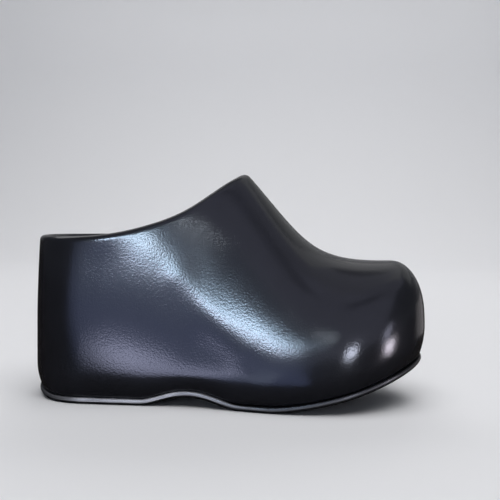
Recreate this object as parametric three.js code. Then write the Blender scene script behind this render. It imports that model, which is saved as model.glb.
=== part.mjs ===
// A platform clog for the right foot: one seamless leather upper drawn over a tall last and a covered
// platform, a rolled collar, a loose insole and a thin rubber outsole with an arch and a toe spring.
// Millimetres. +X runs from the heel to the toe, +Y to the medial side, +Z up from the floor.
import * as THREE from 'three';
import { mergeVertices } from 'three/addons/utils/BufferGeometryUtils.js';

// Overall sizes of the last with its platform.
const LENGTH = 268; // heel back to toe tip
const BALL_WIDTH = 103; // across the ball, at the widest line of the wall
const INSTEP_HEIGHT = 152; // floor to the ridge where the throat cuts it
const TOE_HEIGHT = 96; // floor to the flat of the toe box
const HEEL_HEIGHT = 110.2; // floor to the top of the collar at the back
const BULGE_HEIGHT = 23.5; // floor to the widest line of the rear wall

// How the ends of the last are rounded, in plan and over the toe.
const HEEL_ROUND = 38;
const TOE_ROUND = 62;
const PLAN_POWER = 2.15;
const TOE_TOP_ROUND = 24;
const TOE_TOP_POWER = 2.2;

// The wall tucks in under the widest line, and the heel leans forward above the platform.
const TUCK = 3.4;
const TUCK_POWER = 2.4;
const HEEL_LEAN = 1.8;
const LEAN_FROM = 55;
const LEAN_POWER = 1.5;
const LEAN_REACH_SHARE = 0.6;

// Leather wall with its lining and stiffener, and the padded roll at the collar. The roll is thickest at
// the front of the throat, and the collar stands a little higher on the lateral side.
const WALL = 2.8;
const COLLAR_ROLL = 6.2;
const THROAT_ROLL = 9.5;
const THROAT_ROLL_FROM_SHARE = 0.4;
const THROAT_ROLL_FULL_SHARE = 0.53;
const ROLL_TAPER = 20;
const LATERAL_LIFT = 1.2;

// Outsole.
const SOLE_THICKNESS = 4;
const SOLE_PROUD = 1.4; // how far it stands out past the feather line
const SOLE_EDGE_ROUND = 0.6;
const SOLE_BEVEL = 1.1;
const TOE_SPRING = 29.5;
const SPRING_POWER = 1.5;
const SPRING_FROM_SHARE = 0.608;
const ARCH_RISE = 6.7;
const ARCH_AT_SHARE = 0.412;
const ARCH_HALF_SHARE = 0.12;
const ARCH_POWER = 1.8;
const HEEL_SPRING = 5;
const HEEL_SPRING_SHARE = 0.08;

// Platform and insole. The heights run from the floor to the foot's side of the insole.
const SEAT_HEIGHT = 58;
const FOREFOOT_HEIGHT = 44;
const TOE_LIFT = 8;
const INSOLE_THICKNESS = 3;
const INSOLE_DISH = 2;
const GAP = 0.3; // between pieces that touch

// Straight lines run up the rear wall to this share of the length, and fan in to the throat after it.
const FAN_FROM_SHARE = 0.187;
const FAN_END_SLOPE = 0.22;

// The throat lies between these shares of the length.
const THROAT_AFTER_SHARE = 0.3;
const THROAT_BEFORE_SHARE = 0.8;

// The flat faces' spine stops short of both ends, by shares of their rounding. The stations past a stop
// share what is left of it.
const SPINE_HEEL_SHARE = 0.8;
const SPINE_TOE_SHARE = 0.7;
const SPINE_PAST_SHARE = 1 / 3;

// Mesh density.
const PER_SIDE = 34; // stations from the heel back to the toe tip on one side
const LOW_LEVELS = 4; // from the feather line to the widest line
const RISE_LEVELS = [0, 0.05, 0.11, 0.18, 0.26, 0.35, 0.45, 0.55, 0.65, 0.75, 0.84, 0.92, 1];
const RISE_POWER = 1.75; // packs the levels where the wall is steep
const ROLL_STEPS = 5;
const CAP_RINGS = 3;
const SHORTEST_EDGE = 1;
const END_INSET = 0.001; // keeps the end stations off the very ends, where the outline has no slope
const OUTLINE_STEPS = 2000; // for spacing the stations along the outline
const SLOPE_STEP = 0.05; // for the outline's slope
const HALVINGS = 50; // for finding the throat
const WELD = 0.001; // points closer than this are one

// Sections of the last. `at` is a share of the length, `axis`, `lateral` and `medial` of the ball width,
// and `bulge` of the toe spring. `ridge` goes from the toe's height (0) to the instep's (1), `collar` from
// the heel's height (0) to the instep's (1), and `seat` from the forefoot's height (0) to the heel's (1).
// The powers `tall` and `wide` set how full a section is: 2 and 2 are an ellipse.
const SECTION_COLUMNS = [
  'at', 'axis', 'lateral', 'medial', 'bulge', 'ridge', 'collar', 'seat', 'tall', 'wide',
];
const SECTION_ROWS = [
  [0.0, 0.0, 0.35, 0.35, 0.0, 2.125, 0.0, 1.0, 1.95, 2.07],
  [0.1, 0.0, 0.361, 0.359, 0.0, 2.107, 0.0, 1.0, 2.08, 2.2],
  [0.2, 0.0, 0.367, 0.361, 0.0, 2.036, 0.032, 0.97, 2.12, 2.3],
  [0.3, -0.003, 0.365, 0.355, 0.0, 1.875, 0.183, 0.86, 1.97, 2.25],
  [0.4, -0.006, 0.371, 0.353, 0.0, 1.589, 0.457, 0.62, 1.66, 2.0],
  [0.5, -0.003, 0.408, 0.386, 0.0, 1.212, 0.922, 0.32, 1.46, 1.83],
  [0.6, 0.006, 0.464, 0.439, 0.0, 0.7, 1.33, 0.09, 1.53, 1.87],
  [0.7, 0.019, 0.501, 0.485, 0.04, 0.208, 1.802, 0.0, 1.71, 1.98],
  [0.8, 0.035, 0.505, 0.495, 0.19, 0.018, 2.274, 0.0, 1.93, 2.13],
  [0.9, 0.05, 0.471, 0.471, 0.5, -0.002, 2.745, 0.0, 2.08, 2.2],
  [1.0, 0.063, 0.427, 0.427, 1.0, 0.018, 3.217, 0.0, 2.13, 2.22],
];

const LEATHER = { color: 0x14151a, roughness: 0.32, metalness: 0 };
const RUBBER = { color: 0x2b2c31, roughness: 0.5, metalness: 0 };
const FOAM = { color: 0x33302c, roughness: 0.9, metalness: 0 };
const SOCK = { color: 0x1b1a1b, roughness: 0.6, metalness: 0 };

// A natural cubic spline through points.
function splineThrough(xs, ys) {
  const last = xs.length - 1;
  const bend = new Array(last + 1).fill(0);
  const sweep = new Array(last + 1).fill(0);
  const rest = new Array(last + 1).fill(0);
  for (let i = 1; i < last; i++) {
    const before = xs[i] - xs[i - 1];
    const after = xs[i + 1] - xs[i];
    const pull = 6 * ((ys[i + 1] - ys[i]) / after - (ys[i] - ys[i - 1]) / before);
    const pivot = 2 * (before + after) - before * sweep[i - 1];
    sweep[i] = after / pivot;
    rest[i] = (pull - before * rest[i - 1]) / pivot;
  }
  for (let i = last - 1; i > 0; i--) {
    bend[i] = rest[i] - sweep[i] * bend[i + 1];
  }
  return (x) => {
    let i = 0;
    while (i < last - 1 && x > xs[i + 1]) i += 1;
    const span = xs[i + 1] - xs[i];
    const b = (x - xs[i]) / span;
    const a = 1 - b;
    const curve = ((a ** 3 - a) * bend[i] + (b ** 3 - b) * bend[i + 1]) * (span ** 2 / 6);
    return a * ys[i] + b * ys[i + 1] + curve;
  };
}

const column = {};
SECTION_COLUMNS.forEach((name, c) => {
  const shares = SECTION_ROWS.map((row) => row[0]);
  const values = SECTION_ROWS.map((row) => row[c]);
  column[name] = splineThrough(shares, values);
});

// 0 at an end of the last, rising to 1 where its rounding stops.
function endRound(distance, reach, power) {
  const t = THREE.MathUtils.clamp(distance / reach, 0, 1);
  return (1 - (1 - t) ** power) ** (1 / power);
}

function axisAt(x) {
  return column.axis(x / LENGTH) * BALL_WIDTH;
}

function halfWidth(x, side) {
  const share = side < 0 ? column.lateral(x / LENGTH) : column.medial(x / LENGTH);
  const heel = endRound(x, HEEL_ROUND, PLAN_POWER);
  const toe = endRound(LENGTH - x, TOE_ROUND, PLAN_POWER);
  return share * BALL_WIDTH * heel * toe;
}

// Height of the wall's widest line.
function bulgeAt(x) {
  return BULGE_HEIGHT + column.bulge(x / LENGTH) * TOE_SPRING;
}

// Height of the last's ridge over its widest line. Behind the throat it is the unseen ankle.
function crownAt(x) {
  const ridge = TOE_HEIGHT + column.ridge(x / LENGTH) * (INSTEP_HEIGHT - TOE_HEIGHT);
  return (ridge - bulgeAt(x)) * endRound(LENGTH - x, TOE_TOP_ROUND, TOE_TOP_POWER);
}

// Thickness of the collar's roll.
function rollAt(x) {
  const thicker = THREE.MathUtils.smoothstep(x / LENGTH, THROAT_ROLL_FROM_SHARE, THROAT_ROLL_FULL_SHARE);
  return THREE.MathUtils.lerp(COLLAR_ROLL, THROAT_ROLL, thicker);
}

// Height where the wall ends and the collar's roll starts.
function rollStartAt(x) {
  const top = HEEL_HEIGHT + column.collar(x / LENGTH) * (INSTEP_HEIGHT - HEEL_HEIGHT);
  return top - rollAt(x) / 2;
}

function pastSpring(x) {
  return Math.max((x / LENGTH - SPRING_FROM_SHARE) / (1 - SPRING_FROM_SHARE), 0);
}

function soleBottom(x) {
  const share = x / LENGTH;
  const fromArch = Math.min(Math.abs(share - ARCH_AT_SHARE) / ARCH_HALF_SHARE, 1);
  const arch = ARCH_RISE * (1 - fromArch ** 2) ** ARCH_POWER;
  const heel = HEEL_SPRING * Math.max(1 - share / HEEL_SPRING_SHARE, 0) ** 2;
  return arch + heel + TOE_SPRING * pastSpring(x) ** SPRING_POWER;
}

// Height of the feather line, where the upper and the platform stand on the outsole.
function featherAt(x) {
  return soleBottom(x) + SOLE_THICKNESS + GAP;
}

// Height of the insole's upper side, from the shoe's axis (0) out to the wall (1).
function footbedAt(x, out) {
  const seat = column.seat(x / LENGTH) * (SEAT_HEIGHT - FOREFOOT_HEIGHT);
  return FOREFOOT_HEIGHT + seat + TOE_LIFT * pastSpring(x) ** 2 + INSOLE_DISH * out ** 2;
}

// The collar's front end, where the rolled edge meets the ridge.
function findThroat() {
  let behind = THROAT_AFTER_SHARE * LENGTH;
  let ahead = THROAT_BEFORE_SHARE * LENGTH;
  for (let i = 0; i < HALVINGS; i++) {
    const middle = (behind + ahead) / 2;
    if (bulgeAt(middle) + crownAt(middle) > rollStartAt(middle)) {
      behind = middle;
    } else {
      ahead = middle;
    }
  }
  return behind;
}

const THROAT = findThroat();

// How much higher the lateral side of the collar stands.
function liftAt(x, side) {
  return side < 0 ? LATERAL_LIFT * Math.sin((Math.PI * x) / THROAT) : 0;
}

// Where a line that starts at x on the widest line reaches the collar.
function collarEndOf(x) {
  const from = FAN_FROM_SHARE * LENGTH;
  if (x < from) return x;
  const t = (x - from) / (LENGTH - from);
  const startSlope = (LENGTH - from) / (THROAT - from);
  const leaving = (t ** 3 - 2 * t ** 2 + t) * startSlope;
  const arriving = 3 * t ** 2 - 2 * t ** 3 + (t ** 3 - t ** 2) * FAN_END_SLOPE;
  return from + (THROAT - from) * (leaving + arriving);
}

// Places along the length that are evenly spaced on the lateral outline.
function placesAlongOutline() {
  const places = [0];
  const run = [0];
  for (let i = 1; i <= OUTLINE_STEPS; i++) {
    places.push((LENGTH * (1 - Math.cos((Math.PI * i) / OUTLINE_STEPS))) / 2);
    const across = halfWidth(places[i], -1) - halfWidth(places[i - 1], -1);
    run.push(run[i - 1] + Math.hypot(places[i] - places[i - 1], across));
  }
  const spaced = [];
  for (let s = 0; s <= PER_SIDE; s++) {
    const want = (run[OUTLINE_STEPS] * s) / PER_SIDE;
    const i = Math.max(run.findIndex((length) => length >= want), 1);
    const t = (want - run[i - 1]) / (run[i] - run[i - 1]);
    spaced.push(places[i - 1] + (places[i] - places[i - 1]) * t);
  }
  return spaced;
}

// Plan direction from the outline towards the inside of the shoe.
function inwardFrom(x, side, centre) {
  if (centre) return new THREE.Vector2(x < LENGTH / 2 ? 1 : -1, 0);
  const rise = halfWidth(x + SLOPE_STEP, side) - halfWidth(x - SLOPE_STEP, side);
  const slope = rise / (2 * SLOPE_STEP);
  return new THREE.Vector2(slope, -side).normalize();
}

// Stations round the shoe: heel back, lateral side, toe tip, medial side.
function stationsRound() {
  const places = placesAlongOutline();
  const round = [];
  const add = (i, side) => {
    const centre = i === 0 || i === PER_SIDE;
    const x = THREE.MathUtils.clamp(places[i], END_INSET, LENGTH - END_INSET);
    round.push({ x, side, centre, inward: inwardFrom(x, side, centre) });
  };
  for (let i = 0; i <= PER_SIDE; i++) {
    add(i, -1);
  }
  for (let i = PER_SIDE - 1; i > 0; i--) {
    add(i, 1);
  }
  return round;
}

function leanAt(x, z) {
  const up = Math.max((z - LEAN_FROM) / (HEEL_HEIGHT - LEAN_FROM), 0);
  const near = Math.max(1 - x / (LEAN_REACH_SHARE * LENGTH), 0);
  return HEEL_LEAN * up ** LEAN_POWER * near;
}

// One line of the upper's outside, from the feather line over the widest line to the collar's roll.
function outerLine({ x, side, centre, inward }) {
  const points = [];
  const width = side * halfWidth(x, side);
  for (let level = 0; level < LOW_LEVELS; level++) {
    const t = level / LOW_LEVELS;
    const tuck = TUCK * (1 - t) ** TUCK_POWER;
    const px = x + inward.x * tuck;
    const foot = featherAt(px);
    points.push(new THREE.Vector3(px, width + inward.y * tuck, foot + (bulgeAt(x) - foot) * t));
  }
  const endX = collarEndOf(x);
  const endHeight = rollStartAt(endX) + liftAt(endX, side) - bulgeAt(endX);
  const endRise = THREE.MathUtils.clamp(endHeight / crownAt(endX), 0, 1);
  const endOut = (1 - endRise ** column.tall(endX / LENGTH)) ** (1 / column.wide(endX / LENGTH));
  const endY = side * halfWidth(endX, side) * endOut;
  for (const rise of RISE_LEVELS) {
    const t = rise ** RISE_POWER;
    const px = x + (endX - x) * t;
    const py = width + (endY - width) * t;
    const out = Math.min(Math.abs(py) / halfWidth(px, side), 1);
    const height = (1 - out ** column.wide(px / LENGTH)) ** (1 / column.tall(px / LENGTH));
    points.push(new THREE.Vector3(px, py, bulgeAt(px) + crownAt(px) * height));
  }
  for (const point of points) {
    const y = centre ? 0 : point.y;
    point.y = y + axisAt(point.x);
    point.x += leanAt(point.x, point.z);
  }
  return points;
}

const STATIONS = stationsRound();
const COUNT = STATIONS.length;
const OUTER = STATIONS.map(outerLine);
const TOP_LEVEL = OUTER[0].length - 1;

// Directions into the wall and up along it, at one point of the outside.
function wallFrame(s, level) {
  const round = OUTER[(s + 1) % COUNT][level].clone().sub(OUTER[(s + COUNT - 1) % COUNT][level]);
  const above = OUTER[s][Math.min(level + 1, TOP_LEVEL)];
  const up = above.clone().sub(OUTER[s][Math.max(level - 1, 0)]);
  const inward = up.clone().cross(round).normalize();
  up.addScaledVector(inward, -up.dot(inward)).normalize();
  return { inward, up };
}

// A line that runs under the outside. Its depth may change with the distance from the collar's roll.
function lineUnder(s, depthAt) {
  const line = OUTER[s];
  const points = [];
  let fromRoll = 0;
  for (let level = TOP_LEVEL; level >= 0; level--) {
    if (level < TOP_LEVEL) fromRoll += line[level].distanceTo(line[level + 1]);
    const { inward } = wallFrame(s, level);
    if (level === 0) inward.setZ(0).normalize();
    const point = line[level].clone().addScaledVector(inward, depthAt(fromRoll));
    if (level === 0) point.z = featherAt(point.x);
    points.unshift(point);
  }
  return points;
}

// Lines just inside the lining, for the pieces that fill the upper.
const FILL_LINES = STATIONS.map((station, s) => lineUnder(s, () => WALL + GAP));

// Upper: leather, lining and stiffeners as one wall, up the outside, over the roll and down the inside.
function upperSection(station, s) {
  const thick = rollAt(collarEndOf(station.x));
  const inside = lineUnder(s, (fromRoll) => {
    const thinned = THREE.MathUtils.smoothstep(fromRoll, 0, ROLL_TAPER);
    return THREE.MathUtils.lerp(thick, WALL, thinned);
  });
  const start = OUTER[s][TOP_LEVEL];
  const { inward, up } = wallFrame(s, TOP_LEVEL);
  const radius = thick / 2;
  const roll = [];
  for (let i = 1; i < ROLL_STEPS; i++) {
    const turn = (Math.PI * i) / ROLL_STEPS;
    const point = start.clone().addScaledVector(inward, radius * (1 - Math.cos(turn)));
    roll.push(point.addScaledVector(up, radius * Math.sin(turn)));
  }
  return [...OUTER[s], ...roll, ...inside.reverse()];
}

// Where the two halves of a flat face meet, along the shoe's axis. It stops short of both ends.
function spineOf(x) {
  const heelStop = SPINE_HEEL_SHARE * HEEL_ROUND;
  const toeStop = LENGTH - SPINE_TOE_SHARE * TOE_ROUND;
  let along = x;
  if (x < heelStop) along = heelStop + (x - heelStop) * SPINE_PAST_SHARE;
  if (x > toeStop) along = toeStop + (x - toeStop) * SPINE_PAST_SHARE;
  return new THREE.Vector3(along, axisAt(along), 0);
}

// Points of a face from the spine out to just before the edge, at the heights heightAt gives.
function faceLine(station, edge, heightAt) {
  const points = [];
  for (let ring = 0; ring < CAP_RINGS; ring++) {
    const out = ring / CAP_RINGS;
    const point = spineOf(station.x).lerp(edge, out);
    point.z = heightAt(point.x, out);
    points.push(point);
  }
  return points;
}

// Outsole: a rubber sheet bent to the arch and the toe spring, its top edge eased and its foot bevelled.
function outsoleSection(station, s) {
  const foot = OUTER[s][0];
  const edgePoint = (out, up) => {
    const x = foot.x - station.inward.x * out;
    return new THREE.Vector3(x, foot.y - station.inward.y * out, soleBottom(x) + up);
  };
  const edge = [
    edgePoint(SOLE_PROUD - SOLE_BEVEL, 0),
    edgePoint(SOLE_PROUD, SOLE_BEVEL),
    edgePoint(SOLE_PROUD, SOLE_THICKNESS - SOLE_EDGE_ROUND),
    edgePoint(SOLE_PROUD - SOLE_EDGE_ROUND, SOLE_THICKNESS),
  ];
  const under = faceLine(station, edge[0], soleBottom);
  const over = faceLine(station, edge[3], (x) => soleBottom(x) + SOLE_THICKNESS);
  return [...under, ...edge, ...over.reverse()];
}

// Where a line inside the lining crosses a height that changes along the shoe, and the level above it.
function crossing(line, heightAt) {
  const above = line.findIndex((point) => point.z > heightAt(point.x));
  if (above < 1) throw new Error('the footbed is off the wall');
  const low = line[above - 1];
  const high = line[above];
  const short = heightAt(low.x) - low.z;
  const point = low.clone().lerp(high, short / (short + high.z - heightAt(high.x)));
  return { point, above };
}

// Platform: the block that fills the upper from the outsole up to the insole.
function platformSection(station, s) {
  const line = FILL_LINES[s];
  const topAt = (x, out) => footbedAt(x, out) - INSOLE_THICKNESS - GAP;
  const { point, above } = crossing(line, (x) => topAt(x, 1));
  const wall = line.map((low, level) => {
    const keep = level < above && (level === 0 || low.distanceTo(point) > SHORTEST_EDGE);
    return keep ? low : point;
  });
  const under = faceLine(station, line[0], featherAt);
  const over = faceLine(station, point, topAt);
  return [...under, ...wall, ...over.reverse()];
}

// Insole: a dished sheet on the platform, out to the lining.
function insoleSection(station, s) {
  const underAt = (x, out) => footbedAt(x, out) - INSOLE_THICKNESS;
  const low = crossing(FILL_LINES[s], (x) => underAt(x, 1)).point;
  const high = crossing(FILL_LINES[s], (x) => footbedAt(x, 1)).point;
  const under = faceLine(station, low, underAt);
  const over = faceLine(station, high, footbedAt);
  return [...under, low, high, ...over.reverse()];
}

// A closed mesh through one section for each station. A closed section is a loop, and an open one runs
// from the spine to the spine. Each quad is split along its shorter diagonal.
function meshThrough(name, sectionAt, closed, material) {
  const sections = STATIONS.map(sectionAt);
  const points = sections.flat();
  const steps = sections[0].length;
  const faces = [];
  for (let s = 0; s < COUNT; s++) {
    const here = s * steps;
    const there = ((s + 1) % COUNT) * steps;
    for (let k = 0; k < (closed ? steps : steps - 1); k++) {
      const next = (k + 1) % steps;
      const [a, b, c, d] = [here + k, there + k, there + next, here + next];
      const rising = points[a].distanceTo(points[c]) < points[b].distanceTo(points[d]);
      faces.push(...(rising ? [a, b, c, a, c, d] : [a, b, d, b, c, d]));
    }
  }
  const loose = new THREE.BufferGeometry().setFromPoints(points).setIndex(faces);
  const geometry = mergeVertices(loose, WELD);
  const merged = geometry.index.array;
  const kept = [];
  for (let i = 0; i < merged.length; i += 3) {
    const [a, b, c] = [merged[i], merged[i + 1], merged[i + 2]];
    if (a !== b && b !== c && c !== a) kept.push(a, b, c);
  }
  geometry.setIndex(kept);
  geometry.computeVertexNormals();
  const mesh = new THREE.Mesh(geometry, new THREE.MeshStandardMaterial(material));
  mesh.name = name;
  return mesh;
}

const clog = new THREE.Group();
clog.name = 'clog';
clog.add(
  meshThrough('upper', upperSection, true, LEATHER),
  meshThrough('outsole', outsoleSection, false, RUBBER),
  meshThrough('platform', platformSection, false, FOAM),
  meshThrough('insole', insoleSection, false, SOCK),
);

// The part's origin is the middle of its bounding box, on the floor.
const bounds = new THREE.Box3().setFromObject(clog, true);
const middle = bounds.getCenter(new THREE.Vector3());
for (const mesh of clog.children) {
  mesh.geometry.translate(-middle.x, -middle.y, -bounds.min.z);
}

export default clog;
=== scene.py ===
import math

import bmesh
import bpy
from mathutils import Euler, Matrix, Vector


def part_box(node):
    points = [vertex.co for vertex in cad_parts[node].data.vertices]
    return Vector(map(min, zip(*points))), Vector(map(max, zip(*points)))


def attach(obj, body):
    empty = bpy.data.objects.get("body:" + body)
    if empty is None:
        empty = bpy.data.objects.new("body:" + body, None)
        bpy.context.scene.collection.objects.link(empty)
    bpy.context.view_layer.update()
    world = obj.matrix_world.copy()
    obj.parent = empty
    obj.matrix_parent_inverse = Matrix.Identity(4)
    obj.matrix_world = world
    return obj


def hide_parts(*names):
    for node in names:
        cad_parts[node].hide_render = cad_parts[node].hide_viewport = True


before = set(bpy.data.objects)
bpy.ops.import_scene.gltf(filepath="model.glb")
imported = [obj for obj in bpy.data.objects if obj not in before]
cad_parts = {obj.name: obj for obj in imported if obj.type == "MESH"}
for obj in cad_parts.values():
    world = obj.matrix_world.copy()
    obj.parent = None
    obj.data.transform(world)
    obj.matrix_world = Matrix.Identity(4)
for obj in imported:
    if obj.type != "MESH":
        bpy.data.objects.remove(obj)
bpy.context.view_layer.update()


# Upper: one hide of smooth black leather, pulled wet over the last and down over the covered
# platform, with no seam on the outside. It is lined, stiffened at heel and toe, and turned in over
# a soft roll at the collar. The sizes here are millimetres, with X from the heel back.
MM = 0.001
LENGTH = 268.0
BALL_WIDTH = 103.0
INSTEP_HEIGHT = 152.0
TOE_HEIGHT = 96.0
HEEL_HEIGHT = 110.2
BULGE_HEIGHT = 23.5
HEEL_ROUND = 38.0
TOE_ROUND = 62.0
PLAN_POWER = 2.15
TOE_TOP_ROUND = 24.0
TOE_TOP_POWER = 2.2
TUCK = 3.4
TUCK_POWER = 2.4
HEEL_LEAN = 1.8
LEAN_FROM = 55.0
LEAN_POWER = 1.5
LEAN_REACH = 0.6 * LENGTH
WALL = 2.8
COLLAR_ROLL = 6.2
THROAT_ROLL = 9.5
THROAT_ROLL_FROM = 0.4
THROAT_ROLL_FULL = 0.53
ROLL_TAPER = 20.0
LATERAL_LIFT = 1.2
SOLE_THICKNESS = 4.0
GAP = 0.3
TOE_SPRING = 29.5
SPRING_POWER = 1.5
SPRING_FROM = 0.608
ARCH_RISE = 6.7
ARCH_AT = 0.412
ARCH_HALF = 0.12
ARCH_POWER = 1.8
HEEL_SPRING = 5.0
HEEL_SPRING_REACH = 0.08
FAN_FROM = 0.187 * LENGTH
FAN_END_SLOPE = 0.22

PER_SIDE = 88
LOW_STEPS = 6
RISE_STEPS = 34
RISE_POWER = 1.5
ROLL_STEPS = 8
OUTLINE_STEPS = 4000
OUTLINE_CLEARANCE = 0.001
SLOPE_REACH = 0.05
THROAT_BETWEEN = (0.3, 0.8)
THROAT_HALVINGS = 50

# Sections of the last, by share of its length. The widths are shares of the ball width, the bulge of
# the toe spring, ridge and collar run from the toe's or heel's height (0) to the instep's (1), and
# the seat from the forefoot's height to the heel's. Tall and wide say how full a section is, and are
# the rounded result of a fit to the photographed reflection.
SECTION_COLUMNS = (
    "at", "axis", "lateral", "medial", "bulge", "ridge", "collar", "seat", "tall", "wide")
SECTION_ROWS = (
    (0.0, 0.0, 0.35, 0.35, 0.0, 2.125, 0.0, 1.0, 1.95, 2.07),
    (0.1, 0.0, 0.361, 0.359, 0.0, 2.107, 0.0, 1.0, 2.08, 2.2),
    (0.2, 0.0, 0.367, 0.361, 0.0, 2.036, 0.032, 0.97, 2.12, 2.3),
    (0.3, -0.003, 0.365, 0.355, 0.0, 1.875, 0.183, 0.86, 1.97, 2.25),
    (0.4, -0.006, 0.371, 0.353, 0.0, 1.589, 0.457, 0.62, 1.66, 2.0),
    (0.5, -0.003, 0.408, 0.386, 0.0, 1.212, 0.922, 0.32, 1.46, 1.83),
    (0.6, 0.006, 0.464, 0.439, 0.0, 0.7, 1.33, 0.09, 1.53, 1.87),
    (0.7, 0.019, 0.501, 0.485, 0.04, 0.208, 1.802, 0.0, 1.71, 1.98),
    (0.8, 0.035, 0.505, 0.495, 0.19, 0.018, 2.274, 0.0, 1.93, 2.13),
    (0.9, 0.05, 0.471, 0.471, 0.5, -0.002, 2.745, 0.0, 2.08, 2.2),
    (1.0, 0.063, 0.427, 0.427, 1.0, 0.018, 3.217, 0.0, 2.13, 2.22),
)

# Troughs and swellings where the leather has settled over the last, all on the lateral side (-1).
# Each runs from one point to the other, X and Z, across `width`, and depth is positive inwards. The
# first four rows are the rounded result of a fit to the photographed reflection, and the last two
# are given.
CREASE_COLUMNS = ("side", "x0", "z0", "x1", "z1", "width", "depth")
CREASE_ROWS = (
    (-1, 51.5, 122.5, 52.5, 116.5, 16.2, -1.27),
    (-1, 115, 110, 119, 77.5, 10, 0.12),
    (-1, 135, 95.5, 169.5, 57, 18, 0.45),
    (-1, 105, 85, 141.5, 41, 10.7, -0.49),
    (-1, 118, 40, 136, 37, 13, 0.5),
    (-1, 150, 33, 158, 26, 5, 0.18),
)


def spline_through(xs, ys):
    """A natural cubic spline through points."""
    last = len(xs) - 1
    bend, sweep, rest = [0.0] * (last + 1), [0.0] * (last + 1), [0.0] * (last + 1)
    for i in range(1, last):
        before, after = xs[i] - xs[i - 1], xs[i + 1] - xs[i]
        pull = 6 * ((ys[i + 1] - ys[i]) / after - (ys[i] - ys[i - 1]) / before)
        pivot = 2 * (before + after) - before * sweep[i - 1]
        sweep[i] = after / pivot
        rest[i] = (pull - before * rest[i - 1]) / pivot
    for i in range(last - 1, 0, -1):
        bend[i] = rest[i] - sweep[i] * bend[i + 1]

    def at(x):
        i = 0
        while i < last - 1 and x > xs[i + 1]:
            i += 1
        span = xs[i + 1] - xs[i]
        b = (x - xs[i]) / span
        a = 1 - b
        curve = ((a ** 3 - a) * bend[i] + (b ** 3 - b) * bend[i + 1]) * span ** 2 / 6
        return a * ys[i] + b * ys[i + 1] + curve

    return at


column = {
    name: spline_through([row[0] for row in SECTION_ROWS], [row[c] for row in SECTION_ROWS])
    for c, name in enumerate(SECTION_COLUMNS)
}


def clamped(value, low=0.0, high=1.0):
    return max(low, min(high, value))


def end_round(distance, reach, power):
    """0 at an end of the last, rising to 1 where its rounding stops."""
    t = clamped(distance / reach)
    return (1 - (1 - t) ** power) ** (1 / power)


def axis_at(x):
    return column["axis"](x / LENGTH) * BALL_WIDTH


def half_width(x, side):
    share = column["lateral" if side < 0 else "medial"](x / LENGTH)
    ends = end_round(x, HEEL_ROUND, PLAN_POWER) * end_round(LENGTH - x, TOE_ROUND, PLAN_POWER)
    return share * BALL_WIDTH * ends


def bulge_at(x):
    return BULGE_HEIGHT + column["bulge"](x / LENGTH) * TOE_SPRING


def crown_at(x):
    ridge = TOE_HEIGHT + column["ridge"](x / LENGTH) * (INSTEP_HEIGHT - TOE_HEIGHT)
    return (ridge - bulge_at(x)) * end_round(LENGTH - x, TOE_TOP_ROUND, TOE_TOP_POWER)


def eased(value, low, high):
    """0 below low, 1 above high and a smooth rise between them."""
    t = clamped((value - low) / (high - low))
    return t * t * (3 - 2 * t)


def roll_at(x):
    thicker = eased(x / LENGTH, THROAT_ROLL_FROM, THROAT_ROLL_FULL)
    return COLLAR_ROLL + (THROAT_ROLL - COLLAR_ROLL) * thicker


def roll_start_at(x):
    top = HEEL_HEIGHT + column["collar"](x / LENGTH) * (INSTEP_HEIGHT - HEEL_HEIGHT)
    return top - roll_at(x) / 2


def past_spring(x):
    return max((x / LENGTH - SPRING_FROM) / (1 - SPRING_FROM), 0.0)


def sole_bottom(x):
    share = x / LENGTH
    from_arch = min(abs(share - ARCH_AT) / ARCH_HALF, 1.0)
    arch = ARCH_RISE * (1 - from_arch ** 2) ** ARCH_POWER
    heel = HEEL_SPRING * max(1 - share / HEEL_SPRING_REACH, 0.0) ** 2
    return arch + heel + TOE_SPRING * past_spring(x) ** SPRING_POWER


def feather_at(x):
    return sole_bottom(x) + SOLE_THICKNESS + GAP


def throat_place():
    """Where the collar's edge meets the ridge."""
    behind, ahead = (share * LENGTH for share in THROAT_BETWEEN)
    for _ in range(THROAT_HALVINGS):
        middle = (behind + ahead) / 2
        if bulge_at(middle) + crown_at(middle) > roll_start_at(middle):
            behind = middle
        else:
            ahead = middle
    return behind


THROAT = throat_place()


def lift_at(x, side):
    """How much higher the lateral side of the collar stands."""
    return LATERAL_LIFT * math.sin(math.pi * x / THROAT) if side < 0 else 0.0


def collar_end_of(x):
    """Where a line that starts at x on the widest line reaches the collar."""
    if x < FAN_FROM:
        return x
    t = (x - FAN_FROM) / (LENGTH - FAN_FROM)
    leaving = (t ** 3 - 2 * t ** 2 + t) * (LENGTH - FAN_FROM) / (THROAT - FAN_FROM)
    arriving = 3 * t ** 2 - 2 * t ** 3 + (t ** 3 - t ** 2) * FAN_END_SLOPE
    return FAN_FROM + (THROAT - FAN_FROM) * (leaving + arriving)


def stations_round():
    """Places round the shoe: heel back, lateral side, toe tip, medial side."""
    places, run = [0.0], [0.0]
    for i in range(1, OUTLINE_STEPS + 1):
        places.append(LENGTH * (1 - math.cos(math.pi * i / OUTLINE_STEPS)) / 2)
        across = half_width(places[i], -1) - half_width(places[i - 1], -1)
        run.append(run[-1] + math.hypot(places[i] - places[i - 1], across))
    spaced, i = [], 1
    for s in range(PER_SIDE + 1):
        want = run[-1] * s / PER_SIDE
        while run[i] < want:
            i += 1
        t = (want - run[i - 1]) / (run[i] - run[i - 1])
        place = places[i - 1] + (places[i] - places[i - 1]) * t
        spaced.append(clamped(place, OUTLINE_CLEARANCE, LENGTH - OUTLINE_CLEARANCE))
    going = [(x, -1, s in (0, PER_SIDE)) for s, x in enumerate(spaced)]
    return going + [(x, 1, False) for x in spaced[-2:0:-1]]


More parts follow.
